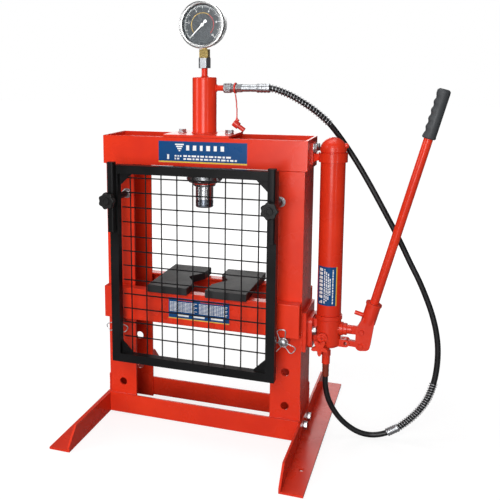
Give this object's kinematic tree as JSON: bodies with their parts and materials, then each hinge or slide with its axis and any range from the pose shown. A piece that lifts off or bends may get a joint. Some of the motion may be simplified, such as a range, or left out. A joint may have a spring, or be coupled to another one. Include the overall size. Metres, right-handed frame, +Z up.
{
  "type": "hydraulic shop press",
  "caption": "Bench-top hydraulic shop press with a detached lever hand pump and hose, pressure gauge, pinned bed, arbor plates and wire guard.",
  "frame": {"origin": "on the bench, in the middle of the four bench bolt holes of the feet", "axes": "+X to the pump side, +Y to the back (the guard is on the -Y side), +Z up, along the ram"},
  "size_m": [0.8435, 0.58, 1.03],
  "materials": {
    "red_paint": "gloss orange-red enamel",
    "black_powder": "satin black powder coat",
    "plate_black": "textured dark grey coat",
    "zinc": "bright zinc plate",
    "dark_steel": "dark machined steel",
    "chrome": "hard chrome",
    "brass": "machined brass",
    "gauge_steel": "polished stainless steel",
    "dial_face": "printed dark dial",
    "pointer_white": "white enamel",
    "glass": "clear",
    "hose_rubber": "smooth black hose cover",
    "grip_rubber": "grey moulded grip",
    "sleeve_plastic": "translucent brown-red sleeve",
    "red_plastic": "moulded red plastic",
    "knob_plastic": "matt black moulding"
  },
  "bodies": {
    "frame": {"left_foot": "red_paint", "right_foot": "red_paint", "frame_bolts": "zinc", "left_column": "red_paint", "right_column": "red_paint", "front_base_rail": "red_paint", "rear_base_rail": "red_paint", "head_beam": "red_paint", "ram_plate": "red_paint", "ram_cylinder": "red_paint", "ram_ring_nut": "dark_steel", "ram_gland": "dark_steel", "ram_return_spring": "zinc", "ram_nipples": "red_paint", "gauge_nut": "zinc", "gauge_stem": "brass", "gauge_case": "gauge_steel", "gauge_bourdon_tube": "brass", "gauge_dial": "dial_face", "gauge_glass": "glass", "gauge_bezel": "gauge_steel", "coupler_body": "zinc", "hose": "hose_rubber", "upper_spring_guard": "zinc", "lower_spring_guard": "zinc", "hose_ferrule": "zinc", "outlet_sleeve": "sleeve_plastic", "outlet_fitting": "red_paint", "cap_tether": "red_plastic", "dust_cap": "red_plastic", "pump_top_bracket": "red_paint", "pump_lower_bracket": "red_paint", "reservoir_tube": "red_paint", "pump_cap": "red_paint", "pump_block": "red_paint", "pump_gland": "red_paint", "relief_plug": "red_paint", "guard_mounts": "black_powder"},
    "ram": {"ram_piston": "chrome", "ram_nose": "dark_steel"},
    "pointer": {"gauge_pointer": "pointer_white"},
    "link": {"pump_link": "red_paint"},
    "handle": {"handle_socket": "red_paint", "clevis_pins": "red_paint", "socket_lock_screw": "red_paint", "handle_bar": "red_paint", "handle_grip": "grip_rubber"},
    "plunger": {"plunger": "red_paint"},
    "release": {"release_knob": "red_paint"},
    "bed": {"bed_front_channel": "red_paint", "bed_rear_channel": "red_paint"},
    "left_plate": {"left_arbor_plate": "plate_black"},
    "right_plate": {"right_arbor_plate": "plate_black"},
    "left_pin": {"left_bed_pin": "zinc"},
    "right_pin": {"right_bed_pin": "zinc"},
    "guard": {"guard_frame": "black_powder", "guard_mesh": "black_powder"},
    "left_knob": {"left_knob": "knob_plastic"},
    "right_knob": {"right_knob": "knob_plastic"},
    "collar": {"coupler_collar": "zinc"}
  },
  "joints": [
    {"name": "ram_extend", "type": "slide", "parent": "frame", "child": "ram", "axis": [0, 0, -1], "range_m": [0, 0.135], "stiffness_N_per_m": 600, "springref_m": -0.08, "deforming": ["ram_return_spring"]},
    {"name": "gauge_pointer_turn", "type": "hinge", "parent": "frame", "child": "pointer", "pos_m": [-0.01, -0.018, 0.975], "axis": [0, 1, 0], "range_deg": [0, 270], "stiffness_Nm_per_rad": 0.002, "springref_deg": -17.19},
    {"name": "handle_swing", "type": "hinge", "parent": "link", "child": "handle", "pos_m": [0.372, 0, 0.236], "axis": [0, 1, 0], "range_deg": [-10, 52]},
    {"name": "link_swing", "type": "hinge", "parent": "frame", "child": "link", "pos_m": [0.338, 0, 0.238], "axis": [0, -1, 0], "range_deg": [-3, 13]},
    {"name": "plunger_slide", "type": "slide", "parent": "frame", "child": "plunger", "axis": [1, 0, 0], "range_m": [-0.005, 0.0215]},
    {"name": "release_turn", "type": "hinge", "parent": "frame", "child": "release", "pos_m": [0.284, -0.042, 0.232], "axis": [0, 1, 0], "range_deg": [0, 360]},
    {"name": "bed_lift", "type": "slide", "parent": "frame", "child": "bed", "axis": [0, 0, 1], "range_m": [0, 0.03]},
    {"name": "left_plate_slide", "type": "slide", "parent": "bed", "child": "left_plate", "axis": [-1, 0, 0], "range_m": [-0.02, 0.04]},
    {"name": "right_plate_slide", "type": "slide", "parent": "bed", "child": "right_plate", "axis": [1, 0, 0], "range_m": [-0.02, 0.04]},
    {"name": "left_pin_pull", "type": "slide", "parent": "frame", "child": "left_pin", "axis": [0, -1, 0], "range_m": [0, 0.02]},
    {"name": "right_pin_pull", "type": "slide", "parent": "frame", "child": "right_pin", "axis": [0, -1, 0], "range_m": [0, 0.02]},
    {"name": "guard_lift", "type": "slide", "parent": "frame", "child": "guard", "axis": [0, 0, 1], "range_m": [0, 0.06]},
    {"name": "left_knob_turn", "type": "hinge", "parent": "frame", "child": "left_knob", "pos_m": [-0.19, -0.17, 0.574], "axis": [0, 1, 0], "range_deg": [0, 360]},
    {"name": "right_knob_turn", "type": "hinge", "parent": "frame", "child": "right_knob", "pos_m": [0.19, -0.17, 0.574], "axis": [0, 1, 0], "range_deg": [0, 360]},
    {"name": "collar_turn", "type": "hinge", "parent": "frame", "child": "collar", "pos_m": [0.047, 0, 0.828], "axis": [1, 0, 0], "range_deg": [0, 360]}
  ],
  "couplings": [
    {"joint": "link_swing", "follows": "handle_swing", "ratio": 0.23},
    {"joint": "plunger_slide", "follows": "handle_swing", "m_per_rad": 0.0231}
  ]
}
